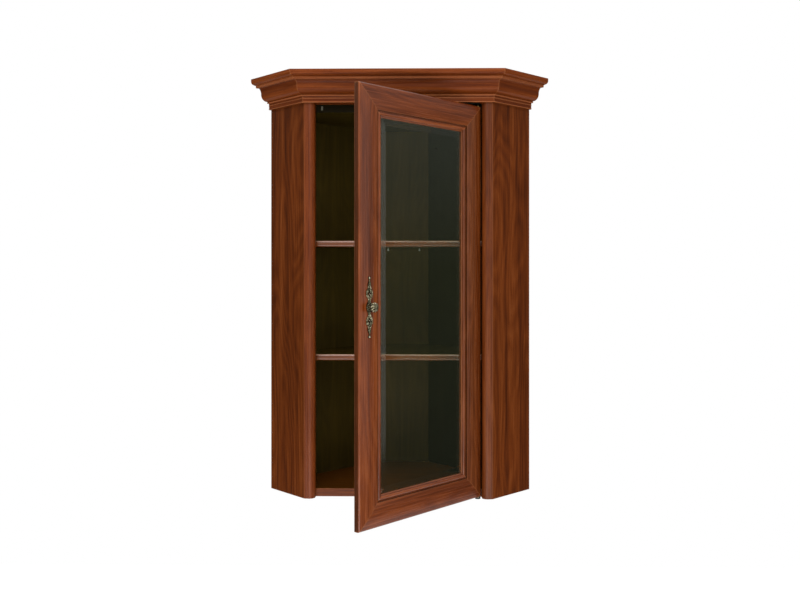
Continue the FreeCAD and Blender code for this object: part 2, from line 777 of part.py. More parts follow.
def pivot_plate(label, turn, plate_level, pin_level, pin_length):
    """A pivot plate with its pin: a tongue, round at the pin, with two countersunk holes."""
    corners = [("PlateTail", "-1 * PlateHalf"), ("PlateTail", "PlateHalf"),
               ("0", "PlateHalf", round_bulge("PlateHalf")),
               ("-1 * PlateHalf", "0", round_bulge("PlateHalf")),
               ("0", "-1 * PlateHalf")]
    body = prism(label, "XY", corners, plate_level, "PlateThickness")
    pin = sketch_on(body, "XY", pin_level)
    draw_circle(pin, "0", "0", "PivotRadius")
    grow(body, "Pad", pin, pin_length)
    for name in ("ScrewNear", "ScrewFar"):
        countersink(body, f"{label}_{name}", name, "0", plate_level)
    put(body, "PivotX", "PivotY", "0", turn)
    keep(label, body)


def pivots():
    """Plates on the carcase, bushes in the door's ends and a washer under the door."""
    pivot_plate("pivot_plate_bottom", 90, "0", "PlateThickness", "DoorBottom - PlateThickness + PivotReach")
    head = "DoorBottom + DoorHeight"
    pivot_plate("pivot_plate_top", 180, "CarcaseHeight - PlateThickness", f"{head} - PivotReach",
                f"CarcaseHeight - PlateThickness - ({head}) + PivotReach")
    washer = doc.addObject("PartDesign::Body", "pivot_washer")
    ring = sketch_on(washer, "XY", "PlateThickness")
    draw_circle(ring, "0", "0", "WasherRadius")
    draw_circle(ring, "0", "0", "PivotRadius + PivotFit")
    grow(washer, "Pad", ring, "WasherThickness")
    put(washer, "PivotX", "PivotY", "0")
    keep("pivot_washer", washer)
    bush = doc.addObject("PartDesign::Body", "pivot_bush")
    ring = sketch_on(bush, "XY", "0")
    draw_circle(ring, "0", "0", "BushRadius")
    draw_circle(ring, "0", "0", "PivotRadius + PivotFit")
    grow(bush, "Pad", ring, "BushLength")
    links = copies("pivot_bushes", bush, 2)
    put_on_door(links[0], z="0")
    put_on_door(links[1], z="DoorHeight - BushLength")


def pivot_screws():
    """Four countersunk screws: up into the bottom board and up into the cornice."""
    shank = doc.addObject("Part::Cylinder", "screw_shank")
    shank.setExpression("Radius", cell("ScrewRadius"))
    shank.setExpression("Height", cell("ScrewLength"))
    head = doc.addObject("Part::Cone", "screw_head")
    head.setExpression("Radius1", cell("ScrewHead"))
    head.setExpression("Radius2", cell("ScrewRadius"))
    head.setExpression("Height", cell("PlateThickness"))
    screw = doc.addObject("Part::Fuse", "pivot_screw")
    screw.Base = head
    screw.Tool = shank
    links = copies("pivot_screws", screw, 4)
    for place in ("ScrewNear", "ScrewFar"):
        put(links.pop(), "PivotX", f"PivotY + {place}", "0")
        put(links.pop(), f"PivotX - {place}", "PivotY", "CarcaseHeight - PlateThickness")


# ---- the whole cabinet ----

def build():
    fill_sheet()
    bottom_board()
    board("top_board", "CarcaseHeight - CarcaseBoard")
    shelf("shelf_lower", "LowerShelf")
    shelf("shelf_upper", "UpperShelf")
    for name, side in SIDES.items():
        side_panel(name, side)
        corner_post(name, side)
        back_panel(name, side)
        hanging_rail(name, side)
        cornice_return(name, side)
    centre_back()
    shelf_pins()
    door_buffer()
    cornice_front()
    cornice_blocks()
    door_stile("door_stile_handle", "FreeEdge", 1)
    door_stile("door_stile_hinge", "HingeEdge", -1)
    door_rail("door_rail_bottom", "0", 1)
    door_rail("door_rail_top", "DoorHeight", -1)
    door_glass()
    glazing_beads()
    handle_plate()
    handle_knob()
    handle_screw()
    pivots()
    pivot_screws()
    doc.recompute()


def check():
    """Stops where a feature failed or a shape is unsound."""
    for item in doc.Objects:
        if {"Invalid", "Error"} & set(item.State):
            raise RuntimeError(f"{item.Label} failed: {item.State}")
    for label, piece in parts.items():
        if piece.Shape.isNull() or not piece.Shape.isValid() or piece.Shape.Volume <= 0:
            raise RuntimeError(f"{label} has no sound shape")


def write():
    os.makedirs("parts", exist_ok=True)
    for label, piece in parts.items():
        piece.Shape.exportStep(f"parts/{label}.step")
        print(label, len(piece.Shape.Solids), round(piece.Shape.Volume))


build()
check()
write()
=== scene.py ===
"""Corner wall cabinet: its finishes, its cast handle and a plain studio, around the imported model.

Everything is in metres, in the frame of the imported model. The carcase stands still, and the door
turns on its pivots. Foiled cherry covers the outside, a dark lining the inside.
"""
import json
import math

import bmesh
import bpy
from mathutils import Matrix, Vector


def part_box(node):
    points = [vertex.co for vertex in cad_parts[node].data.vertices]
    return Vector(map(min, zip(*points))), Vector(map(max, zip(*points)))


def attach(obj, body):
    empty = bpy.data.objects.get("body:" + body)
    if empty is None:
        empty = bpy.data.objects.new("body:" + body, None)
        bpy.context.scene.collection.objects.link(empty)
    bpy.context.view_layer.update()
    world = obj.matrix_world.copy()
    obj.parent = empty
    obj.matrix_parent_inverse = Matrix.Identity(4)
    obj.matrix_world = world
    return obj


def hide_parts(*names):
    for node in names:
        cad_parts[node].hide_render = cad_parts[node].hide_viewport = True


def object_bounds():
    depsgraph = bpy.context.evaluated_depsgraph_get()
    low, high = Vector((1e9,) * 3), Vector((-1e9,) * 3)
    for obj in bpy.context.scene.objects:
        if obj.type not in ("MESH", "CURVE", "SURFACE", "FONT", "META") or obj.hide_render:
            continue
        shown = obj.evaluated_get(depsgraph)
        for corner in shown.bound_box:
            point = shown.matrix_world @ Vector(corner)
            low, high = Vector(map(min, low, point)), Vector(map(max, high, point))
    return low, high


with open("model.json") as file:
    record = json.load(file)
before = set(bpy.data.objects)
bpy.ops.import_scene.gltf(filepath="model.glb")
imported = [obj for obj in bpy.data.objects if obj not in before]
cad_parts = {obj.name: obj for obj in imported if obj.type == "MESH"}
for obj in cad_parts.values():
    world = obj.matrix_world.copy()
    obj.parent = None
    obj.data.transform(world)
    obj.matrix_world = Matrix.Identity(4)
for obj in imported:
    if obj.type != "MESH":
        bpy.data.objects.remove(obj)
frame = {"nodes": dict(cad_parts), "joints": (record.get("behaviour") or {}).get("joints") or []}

cad_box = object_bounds()

MM = 0.001
CORNER_TURN = math.radians(45)
DOOR_TURN = math.radians(-frame["joints"][0]["range_deg"][0])     # the door at rest, from shut
ALONG_DOOR = Vector((math.cos(DOOR_TURN), math.sin(DOOR_TURN), 0))
OUT_OF_DOOR = Vector((math.sin(DOOR_TURN), -math.cos(DOOR_TURN), 0))
UP = Vector((0, 0, 1))


# ---- small helpers ----

def linear(hex_colour):
    """An sRGB hex colour as linear red, green, blue and alpha."""
    shares = [int(hex_colour[at:at + 2], 16) / 255 for at in (1, 3, 5)]
    return (*[c / 12.92 if c <= 0.04045 else ((c + 0.055) / 1.055) ** 2.4 for c in shares], 1.0)


def add(tree, kind, inputs=(), stops=(), **settings):
    """Adds a node. Its inputs, by name or number, are values or the sockets that feed them."""
    node = tree.nodes.new("ShaderNode" + kind)
    for name, setting in settings.items():
        setattr(node, name, setting)
    for key, given in dict(inputs).items():
        if isinstance(given, bpy.types.NodeSocket):
            tree.links.new(given, node.inputs[key])
        else:
            node.inputs[key].default_value = given
    for index, (at, colour) in enumerate(stops):
        if index >= len(node.color_ramp.elements):
            node.color_ramp.elements.new(at)
        node.color_ramp.elements[index].position = at
        node.color_ramp.elements[index].color = linear(colour)
    return node


def new_material(name):
    """A material without nodes, and its node tree."""
    material = bpy.data.materials.new(name)
    material.use_nodes = True
    material.node_tree.nodes.clear()
    return material, material.node_tree


def coat_with(tree, surface):
    """Ends a material: its surface goes to the output."""
    add(tree, "OutputMaterial", {"Surface": surface.outputs[0]})


def per_metre(spacing):
    """How many features of a spacing in millimetres a metre holds."""
    return 1 / (spacing * MM)


# ---- wood ----

# A pattern's scale along the grain, as a share of its scale across: the less, the more drawn out.
STREAK = 0.03
ARCH = 0.17
DASH = 0.07
UPRIGHT, LEVEL = (0, 0, 1), (1, 0, 0)

# How far apart the wood's patterns lie across the grain, in millimetres.
BAND_SPACING = 28
LINE_SPACING = 3.5
HILL_SPACING = 85
PORE_SPACING = 1.1
PATCH_SPACING = 300

HILL_RINGS = 26.0           # how steeply the rings climb a hill
LINES_SHARE = 0.42          # the fine lines' share of the streaks; the broad bands have the rest
TONE_STOPS = (0.34, 0.46, 0.55, 0.68)
PORE_DARKNESS = 0.65
FACING_SHARE = (0.9, 0.96)  # how far a normal has to lie along a direction to count as facing it
# How far the painted shade in hollows and the painted highlight on arrises reach.
HOLLOW_SHADE_REACH = 6 * MM
ARRIS_HIGHLIGHT_REACH = 2 * MM

CHERRY = ["#4e1d06", "#662b0a", "#763610", "#8a461d"]
# Paler tones for the cornice's fine members: a painted highlight.
BEAD_HIGHLIGHT_CHERRY = ["#7a3d1c", "#8c4a26", "#9d5831", "#ad6840"]
DEEP_CHERRY = ["#421a05", "#5a2708", "#69310d", "#7c401a"]
EDGE_CHERRY = ["#341503", "#431b04", "#4e2106", "#5a280a"]
LINING = ["#35290a", "#3a2d0c", "#3f310e", "#463612"]
LIT_LINING = ["#3c2c0d", "#42310f", "#483512", "#4f3a16"]
SHADED_LINING = ["#120e06", "#151107", "#181308", "#1c160a"]
REDDER_LINING = ["#432305", "#4d2907", "#562e09", "#60360c"]
# Near-black tones of painted shade, for the top board's front edge.
SHADED_EDGE_TONES = ["#130e04", "#181205", "#1d1606", "#231b08"]
# Tones of the painted highlight on the shelves' upper front edge.
SHELF_HIGHLIGHT_TONES = ["#9c6f5a", "#ac7f6a", "#bb907b", "#caa38f"]
FIBREBOARD = ["#6a4c33", "#77573b", "#836345", "#8f6f51"]
# The tone of the painted highlight on arrises.
ARRIS_HIGHLIGHT_TONE = "#a5683f"
SOFTWOOD = ["#a87c48", "#bf9460", "#cda875", "#d8ba8c"]


def drawn_along(along, share):
    """Scales that draw a pattern out along one axis of a board."""
    return tuple(share if axis else 1 for axis in along)


def wood_figure(tree, along, turn, seed, flame=0.1):
    """The figure of a plain-sawn board that is turned about the vertical: soft streaks, fine lines
    and a share of flame-shaped arches, and its pores. Returns figure, lines, pores and patches."""
    place = add(tree, "TexCoord").outputs["Object"]
    board = add(tree, "Mapping", {"Vector": place, "Rotation": (0, 0, -turn),
                                  "Location": (seed, seed, seed)}).outputs[0]
    drawn = add(tree, "Mapping", {"Vector": board, "Scale": drawn_along(along, STREAK)}).outputs[0]
    arched = add(tree, "Mapping", {"Vector": board, "Scale": drawn_along(along, ARCH)}).outputs[0]
    bands = add(tree, "TexNoise", {"Vector": drawn, "Scale": per_metre(BAND_SPACING), "Detail": 3.0,
                                   "Roughness": 0.5, "Distortion": 0.3}).outputs["Fac"]
    lines = add(tree, "TexNoise", {"Vector": drawn, "Scale": per_metre(LINE_SPACING), "Detail": 3.0,
                                   "Roughness": 0.6}).outputs["Fac"]
    # The yearly rings come to the face as contour lines, several millimetres apart.
    hills = add(tree, "TexNoise", {"Vector": arched, "Scale": per_metre(HILL_SPACING),
                                   "Detail": 0.7}).outputs["Fac"]
    climb = add(tree, "Math", {0: hills, 1: HILL_RINGS}, operation="MULTIPLY").outputs[0]
    rings = add(tree, "Math", {0: climb, 1: 1.0}, operation="PINGPONG").outputs[0]
    streaks = add(tree, "Mix", {0: LINES_SHARE, 2: bands, 3: lines}, data_type="FLOAT").outputs[0]
    figure = add(tree, "Mix", {0: flame, 2: streaks, 3: rings}, data_type="FLOAT").outputs[0]
    # Real pores are 0.2 mm wide; they are drawn about 1 mm wide so that the render holds them.
    dashes = add(tree, "Mapping", {"Vector": board, "Scale": drawn_along(along, DASH)}).outputs[0]
    pore_noise = add(tree, "TexNoise", {"Vector": dashes, "Scale": per_metre(PORE_SPACING),
                                        "Detail": 1.0}).outputs["Fac"]
    pores = add(tree, "MapRange", {"Value": pore_noise, "From Min": 0.62, "From Max": 0.74}).outputs[0]
    patches = add(tree, "TexNoise", {"Vector": board, "Scale": per_metre(PATCH_SPACING),
                                     "Detail": 1.0}).outputs["Fac"]
    return figure, lines, pores, patches


def wood_colour(tree, tones, figure, pores, patches):
    """The figure in four tones, dark to light, with slow changes of tone and darker pores."""
    colour = add(tree, "ValToRGB", {"Fac": figure}, stops=list(zip(TONE_STOPS, tones))).outputs["Color"]
    tone = add(tree, "MapRange", {"Value": patches, "From Min": 0.3, "From Max": 0.7, "To Min": 0.93,
                                  "To Max": 1.07}).outputs[0]
    varied = add(tree, "HueSaturation", {"Color": colour, "Value": tone}).outputs[0]
    depth = add(tree, "Math", {0: pores, 1: PORE_DARKNESS}, operation="MULTIPLY").outputs[0]
    return add(tree, "Mix", {0: depth, 6: varied, 7: linear(tones[0])}, data_type="RGBA").outputs[2]


def facing(tree, direction):
    """1 on flat faces that look along a direction, 0 on the rest."""
    normal = add(tree, "TexCoord").outputs["Normal"]
    share = add(tree, "VectorMath", {0: normal, 1: direction}, operation="DOT_PRODUCT").outputs["Value"]
    return add(tree, "MapRange", {"Value": share, "From Min": FACING_SHARE[0],
                                  "From Max": FACING_SHARE[1]}).outputs[0]


def painted_shade_and_highlights(tree, colour, edge_highlight):
    """Painted shade that darkens the hollows of a moulding, and painted highlights that make its arrises
    paler by a share. The highlight line is drawn about 2 mm wide, so that the render holds it."""
    hollow = add(tree, "AmbientOcclusion", {"Distance": HOLLOW_SHADE_REACH}, samples=8,
                 only_local=True).outputs["AO"]
    hollow_shade = add(tree, "MapRange", {"Value": hollow, "From Min": 0.45, "From Max": 0.92, "To Min": 0.68,
                                   "To Max": 1.0}).outputs[0]
    arris = add(tree, "AmbientOcclusion", {"Distance": ARRIS_HIGHLIGHT_REACH}, samples=8, inside=True,
                only_local=True).outputs["AO"]
    arris_highlight_share = add(tree, "MapRange", {"Value": arris, "From Min": 0.55, "From Max": 0.9, "To Min": edge_highlight,
                                    "To Max": 0.0}).outputs[0]
    paler = add(tree, "Mix", {0: arris_highlight_share, 6: colour, 7: linear(ARRIS_HIGHLIGHT_TONE)}, data_type="RGBA").outputs[2]
    return add(tree, "HueSaturation", {"Color": paler, "Value": hollow_shade}).outputs[0]


def wood_surface(tree, colour, lines, pores, sheen, shine):
    """A sealed wood surface: the grain shifts its gloss, and the pores lie a little lower."""
    gloss = add(tree, "MapRange", {"Value": lines, "From Min": 0.3, "From Max": 0.7, "To Min": sheen[0],
                                   "To Max": sheen[1]}).outputs[0]
    raised = add(tree, "Mix", {0: 0.6, 2: lines, 3: 0.5}, data_type="FLOAT").outputs[0]
    height = add(tree, "Math", {0: raised, 1: pores}, operation="SUBTRACT").outputs[0]
    bump = add(tree, "Bump", {"Height": height, "Strength": 0.2, "Distance": 0.2 * MM})
    coat_with(tree, add(tree, "BsdfPrincipled", {
        "Base Color": colour, "Roughness": gloss, "Normal": bump.outputs[0], "IOR": 1.5,
        "Specular IOR Level": shine}))


def cherry_foil(name, along, turn=0.0, seed=0.0, tones=CHERRY, shine=0.25, gloss=(0.3, 0.42), flame=0.06,
                edge_highlight=0.25, others=()):
    """Cherry-printed foil under satin lacquer on fibreboard: soft red-brown streaks along the piece,
    a faint flame, short dark pores and a quiet sheen. Others are pairs of a direction and the tones
    of the faces that look that way."""
    material, tree = new_material(name)
    figure, lines, pores, patches = wood_figure(tree, along, turn, seed, flame)
    colour = wood_colour(tree, tones, figure, pores, patches)
    for direction, other_tones in others:
        other = wood_colour(tree, other_tones, figure, pores, patches)
        colour = add(tree, "Mix", {0: facing(tree, direction), 6: colour, 7: other},
                     data_type="RGBA").outputs[2]
    # Painted shade in the hollows and painted highlights on the arrises.
    wood_surface(tree, painted_shade_and_highlights(tree, colour, edge_highlight), lines, pores, gloss, shine)
    return material


def lined_hardboard(name, rear, tones=LINING):
    """Hardboard with a dark wood-print lining: yellow-black, faint upright grain, low sheen. Its
    rear is bare brown fibre."""
    material, tree = new_material(name)
    figure, lines, pores, patches = wood_figure(tree, UPRIGHT, turn=0.0, seed=3.0)
    lined = wood_colour(tree, tones, figure, pores, patches)
    place = add(tree, "TexCoord").outputs["Object"]
    fibre = add(tree, "TexNoise", {"Vector": place, "Scale": per_metre(6), "Detail": 6.0, "Roughness": 0.7})
    bare = add(tree, "ValToRGB", {"Fac": fibre.outputs["Fac"]},
               stops=[(0.3, "#5e4027"), (0.7, "#7a5636")]).outputs["Color"]
    colour = add(tree, "Mix", {0: facing(tree, rear), 6: lined, 7: bare}, data_type="RGBA").outputs[2]
    wood_surface(tree, colour, lines, pores, sheen=(0.5, 0.62), shine=0.1)
    return material


def planed_softwood(name):
    """Planed spruce, bare: pale yellow with darker summer lines, matt."""
    material, tree = new_material(name)
    figure, lines, pores, patches = wood_figure(tree, LEVEL, turn=CORNER_TURN, seed=5.0)
    wood_surface(tree, wood_colour(tree, SOFTWOOD, figure, pores, patches), lines, pores,
                 sheen=(0.6, 0.75), shine=0.3)
    return material


# ---- glass, metal and plastic ----

# How far a normal lies along the pane's own, on the bevel and on the flat face.
BEVEL_SHARE, FLAT_SHARE = 0.9985, 0.9995
BEVEL_ROUGHNESS = 0.12
SMEAR_ROUGHNESS = 0.04
SMEAR_SPACING = 90          # in millimetres, as is the next
WAVE_SPACING = 140
PLASTIC_GLOSS_SHIFT = 0.08


def bevelled_glass(name):
    """Float glass with a ground bevel: clear, faintly green, with a few soft smears, and a bevel that
    is polished less than the face. Lamps shine through it."""
    material, tree = new_material(name)
    place = add(tree, "TexCoord").outputs["Object"]
    smears = add(tree, "TexNoise", {"Vector": place, "Scale": per_metre(SMEAR_SPACING), "Detail": 4.0,
                                    "Distortion": 1.5})
    gloss = add(tree, "MapRange", {"Value": smears.outputs["Fac"], "From Min": 0.45, "From Max": 0.75,
                                   "To Min": 0.0, "To Max": SMEAR_ROUGHNESS}).outputs[0]
    normal = add(tree, "TexCoord").outputs["Normal"]
    share = add(tree, "VectorMath", {0: normal, 1: OUT_OF_DOOR}, operation="DOT_PRODUCT").outputs["Value"]
    square = add(tree, "Math", {0: share}, operation="ABSOLUTE").outputs[0]
    bevel = add(tree, "MapRange", {"Value": square, "From Min": BEVEL_SHARE, "From Max": FLAT_SHARE,
                                   "To Min": BEVEL_ROUGHNESS, "To Max": 0.0}).outputs[0]
    polish = add(tree, "Math", {0: gloss, 1: bevel}, operation="MAXIMUM").outputs[0]
    waves = add(tree, "TexNoise", {"Vector": place, "Scale": per_metre(WAVE_SPACING), "Detail": 1.0})
    bump = add(tree, "Bump", {"Height": waves.outputs["Fac"], "Strength": 0.02, "Distance": 0.3 * MM})
    pane = add(tree, "BsdfPrincipled", {
        "Base Color": linear("#e6efe6"), "Roughness": polish, "Normal": bump.outputs[0], "IOR": 1.52,
        "Transmission Weight": 1.0})
    open_to_lamps = add(tree, "BsdfTransparent", {"Color": linear("#dfe8df")})
    shadow = add(tree, "LightPath").outputs["Is Shadow Ray"]
    coat_with(tree, add(tree, "MixShader", {0: shadow, 1: pane.outputs[0], 2: open_to_lamps.outputs[0]}))
    return material


def metal(name, tones, roughness, grain, bump_depth, spots=per_metre(5)):
    """A metal whose colour and gloss shift in small spots, over a fine surface grain."""
    material, tree = new_material(name)
    place = add(tree, "TexCoord").outputs["Object"]
    tarnish = add(tree, "TexNoise", {"Vector": place, "Scale": spots, "Detail": 5.0, "Roughness": 0.65})
    colour = add(tree, "ValToRGB", {"Fac": tarnish.outputs["Fac"]},
                 stops=list(zip((0.36, 0.5, 0.62), tones))).outputs["Color"]
    gloss = add(tree, "MapRange", {"Value": tarnish.outputs["Fac"], "From Min": 0.35, "From Max": 0.65,
                                   "To Min": roughness[1], "To Max": roughness[0]}).outputs[0]
    fine = add(tree, "TexNoise", {"Vector": place, "Scale": grain, "Detail": 2.0})
    bump = add(tree, "Bump", {"Height": fine.outputs["Fac"], "Strength": 0.4, "Distance": bump_depth})
    coat_with(tree, add(tree, "BsdfPrincipled", {
        "Base Color": colour, "Metallic": 1.0, "Roughness": gloss, "Normal": bump.outputs[0]}))
    return material


def moulded_plastic(name, tones, roughness):
    """Injection-moulded plastic: even, pale and slightly waxy, with a fine spark-eroded texture."""
    material, tree = new_material(name)
    place = add(tree, "TexCoord").outputs["Object"]
    cloud = add(tree, "TexNoise", {"Vector": place, "Scale": per_metre(8), "Detail": 3.0})
    colour = add(tree, "ValToRGB", {"Fac": cloud.outputs["Fac"]},
                 stops=list(zip((0.35, 0.65), tones))).outputs["Color"]
    gloss = add(tree, "MapRange", {"Value": cloud.outputs["Fac"], "From Min": 0.3, "From Max": 0.7,
                                   "To Min": roughness - PLASTIC_GLOSS_SHIFT,
                                   "To Max": roughness + PLASTIC_GLOSS_SHIFT}).outputs[0]
    texture = add(tree, "TexNoise", {"Vector": place, "Scale": per_metre(0.6), "Detail": 1.0})
    bump = add(tree, "Bump", {"Height": texture.outputs["Fac"], "Strength": 0.3, "Distance": 0.05 * MM})
    coat_with(tree, add(tree, "BsdfPrincipled", {
        "Base Color": colour, "Roughness": gloss, "Normal": bump.outputs[0], "IOR": 1.5,
        "Subsurface Weight": 0.05, "Subsurface Radius": (0.002, 0.002, 0.002)}))
    return material


# Directions from a side panel into the cabinet, and from a back panel to the wall behind it.
INWARD = {"left": (math.sin(CORNER_TURN), math.cos(CORNER_TURN), 0),
          "right": (-math.sin(CORNER_TURN), math.cos(CORNER_TURN), 0)}
TO_WALL = {"left": (-math.sin(CORNER_TURN), math.cos(CORNER_TURN), 0),
           "right": (math.sin(CORNER_TURN), math.cos(CORNER_TURN), 0)}
ABOVE, BELOW, BEHIND, FORWARD = (0, 0, 1), (0, 0, -1), (0, 1, 0), (0, -1, 0)

antique_brass = metal("cast brass, antiqued", ["#100e09", "#2d291d", "#5a543f"], (0.3, 0.5),
                      per_metre(0.8), 0.15 * MM, spots=per_metre(2.2))
rubbed_brass = metal("cast brass, antiqued and rubbed", ["#1f1b11", "#7b7257", "#ddd6bb"], (0.2, 0.42),
                     per_metre(0.8), 0.12 * MM, spots=per_metre(2.4))
turned_brass = metal("turned brass", ["#8a6a34", "#b08c4c", "#c9a868"], (0.2, 0.34), per_metre(0.5),
                     0.03 * MM)
zinc_plate = metal("zinc-plated steel", ["#84857f", "#a3a49f", "#bdbebb"], (0.24, 0.4), per_metre(0.7),
                   0.05 * MM)
black_zinc = metal("zinc-plated steel, black-passivated", ["#191814", "#24231e", "#33312a"], (0.45, 0.6),
                   per_metre(0.7), 0.05 * MM)
nylon = moulded_plastic("nylon", ["#d8d4c6", "#e6e2d6"], 0.4)
pale_plastic = moulded_plastic("clear-cream polyethylene", ["#c9c4b4", "#dcd8ca"], 0.35)
# The door buffer gets dark grey-olive tones.
dark_plastic = moulded_plastic("polyurethane, dark", ["#5b5747", "#6a6655"], 0.4)
softwood = planed_softwood("planed spruce")


def door_foil(name, along, seed, turn=0.0, tones=CHERRY):
    """The door's foil. Its outer edges are given darker tones."""
    edges = [-ALONG_DOOR, ALONG_DOOR, UP, -UP]
    return cherry_foil(name, along, turn=turn, seed=seed, tones=tones, shine=0.48, gloss=(0.2, 0.32),
                       flame=0.09, edge_highlight=0.35, others=[(edge, EDGE_CHERRY) for edge in edges])


def side_foil(name, seed, inward):
    """A side's foil, a shade deeper than the front's, with the lining on its inner face."""
    return cherry_foil(name, UPRIGHT, seed=seed, tones=DEEP_CHERRY, shine=0.07, flame=0.09,
                       others=[(inward, LINING)])


def moulding_foil(name, seed, inward, turn=0.0, tones=CHERRY):
    """The cornice's foil, with its figure running along the moulding. The back is bare fibreboard."""
    return cherry_foil(name, LEVEL, turn=turn, seed=seed, tones=tones, shine=0.1, flame=0.02, edge_highlight=0.35,
                       others=[(inward, FIBREBOARD), ((Vector(inward) + UP).normalized(), FIBREBOARD)])


FINISHES = {
    "post_left": cherry_foil("cherry foil, left post", UPRIGHT, seed=0.3),
    "post_right": cherry_foil("cherry foil, right post", UPRIGHT, seed=1.1, tones=DEEP_CHERRY),
    "side_left": side_foil("cherry foil, left side", 2.2, INWARD["left"]),
    "side_right": side_foil("cherry foil, right side", 3.7, INWARD["right"]),
    "cornice_front": moulding_foil("cherry foil, front moulding", 0.8, BEHIND),
    "cornice_left": moulding_foil("cherry foil, left moulding", 1.9, INWARD["left"], turn=-CORNER_TURN),
    "cornice_right": moulding_foil("cherry foil, right moulding", 2.6, INWARD["right"], turn=CORNER_TURN),
    "door_stile_handle": door_foil("cherry foil, handle stile", UPRIGHT, 4.4),
    "door_stile_hinge": door_foil("cherry foil, hinge stile", UPRIGHT, 5.3, tones=DEEP_CHERRY),
    "door_glass": bevelled_glass("bevelled float glass"),
    "back_left": lined_hardboard("lined hardboard, left", TO_WALL["left"]),
    "back_right": lined_hardboard("lined hardboard, right", TO_WALL["right"], tones=SHADED_LINING),
    "centre_back": lined_hardboard("lined hardboard, centre", BEHIND, tones=LIT_LINING),
    # The top board's front edge is painted near black: painted shade under the cornice.
    "top_board": cherry_foil("lined board, top", LEVEL, seed=6.2, tones=LINING, shine=0.04, edge_highlight=0,
                             others=[(FORWARD, SHADED_EDGE_TONES)]),
}
# The shelves' upper front edge, which leans forward and up, is painted paler: a painted highlight.
SHELF_HIGHLIGHT_SLOPE = (0, -0.6, 0.8)
shelves = cherry_foil("cherry edging, shelves", LEVEL, seed=6.2, tones=DEEP_CHERRY, shine=0.6,
                      gloss=(0.1, 0.16),
                      others=[(SHELF_HIGHLIGHT_SLOPE, SHELF_HIGHLIGHT_TONES), (ABOVE, LINING), (BELOW, LINING)])
door_rails = door_foil("cherry foil, door rails", LEVEL, 0.5, turn=DOOR_TURN)
# The bottom board's top gets a redder lining than the rest.
FINISHES["bottom_board"] = cherry_foil("cherry edging, bottom", LEVEL, seed=7.1, tones=DEEP_CHERRY,
                                       shine=0.15, others=[(ABOVE, REDDER_LINING), (BELOW, LINING)])
FINISHES["glazing_bead_handle"] = FINISHES["door_stile_handle"]
FINISHES["glazing_bead_hinge"] = FINISHES["door_stile_hinge"]
SHARED_FINISHES = [
    (shelves, ["shelf_lower", "shelf_upper"]),
    (door_rails, ["door_rail_bottom", "door_rail_top", "glazing_bead_bottom", "glazing_bead_top"]),
    (softwood, ["hanging_rail_left", "hanging_rail_right", "cornice_blocks"]),
    (pale_plastic, ["shelf_pins"]),
    (dark_plastic, ["door_buffer"]),
    (antique_brass, ["handle_plate"]),
    (rubbed_brass, ["handle_knob"]),
    (black_zinc, ["pivot_plate_bottom", "pivot_plate_top"]),
    (zinc_plate, ["pivot_screws", "handle_screw"]),
    (turned_brass, ["pivot_bushes"]),
    (nylon, ["pivot_washer"]),
]
for finish, node_names in SHARED_FINISHES:
    FINISHES.update(dict.fromkeys(node_names, finish))

for node_name, node in frame["nodes"].items():
    node.material_slots[0].material = FINISHES[node_name]


# ---- added pieces ----

def new_piece(name, body, material, form, smooth=True):
    """A finished mesh that rides on a body."""
    mesh = bpy.data.meshes.new(name)
    bmesh.ops.recalc_face_normals(form, faces=form.faces)
    form.to_mesh(mesh)
    form.free()
    mesh.materials.append(material)
    mesh.polygons.foreach_set("use_smooth", [smooth] * len(mesh.polygons))
    piece = bpy.data.objects.new(name, mesh)
    bpy.context.scene.collection.objects.link(piece)
    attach(piece, body)
    return piece


# The cornice runs round three edges of the carcase and ends square on the two walls.
side_low, side_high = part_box("side_right")
WALL_END, FRONT_LINE = side_high.x, side_low.y
FRONT_HALF = WALL_END + FRONT_LINE
CORNICE_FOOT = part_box("cornice_front")[0].z
MITRE_SLOPE = math.tan(CORNER_TURN / 2)
END_CLEARANCE = 0.3         # between the fine members and the wall, in millimetres

# Sections of the fine members of the cornice, in millimetres: out from the carcase and up from the
# cornice's foot. Two fillets edge the frieze, a bead stands in the hollow above it, and a band
# squares off the top of the cove.
BEAD_MIDDLE, BEAD_RADIUS, BEAD_SIDES = (12.6, 19.4), 2.2, 12
BEAD_ANGLES = [2 * math.pi * index / BEAD_SIDES for index in range(BEAD_SIDES)]
FINE_MEMBERS = [
    [(6.6, 0.3), (8.8, 0.3), (8.8, 2.4), (6.6, 2.4)],
    [(6.6, 10.8), (8.8, 10.8), (8.8, 13.2), (6.6, 13.2)],
    [(BEAD_MIDDLE[0] + BEAD_RADIUS * math.cos(angle), BEAD_MIDDLE[1] + BEAD_RADIUS * math.sin(angle))
     for angle in BEAD_ANGLES],
    [(44, 57), (52.0, 57), (53.0, 58), (53.0, 64.2), (44, 64.2)]]
# Each run of them: its first station in plan, its foil's seed and turn, and the way to its back.
RUNS = {"left": (0, 1.9, -CORNER_TURN, INWARD["left"]), "front": (1, 0.8, 0.0, BEHIND),
        "right": (2, 2.6, CORNER_TURN, INWARD["right"])}


def cornice_stations(out):
    """Plan points of a line that runs round the cornice at a distance out from the carcase."""
    step = out * MM
    square = step * math.sin(CORNER_TURN)
    short = END_CLEARANCE * MM * math.sin(CORNER_TURN)
    right = [(FRONT_HALF + step * MITRE_SLOPE, FRONT_LINE - step),
             (WALL_END + square - short, -square - short)]
    return [(-x, y) for x, y in reversed(right)] + right


def cornice_member(form, section, first):
    """One length of a fine member, mitred or cut square at its ends."""
    ends = []
    for station in (first, first + 1):
        ends.append([form.verts.new((*cornice_stations(out)[station], CORNICE_FOOT + up * MM))
                     for out, up in section])
    for index in range(len(section)):
        beside = (index + 1) % len(section)
        form.faces.new((ends[0][index], ends[0][beside], ends[1][beside], ends[1][index]))
    form.faces.new(ends[0])
    form.faces.new(ends[1])


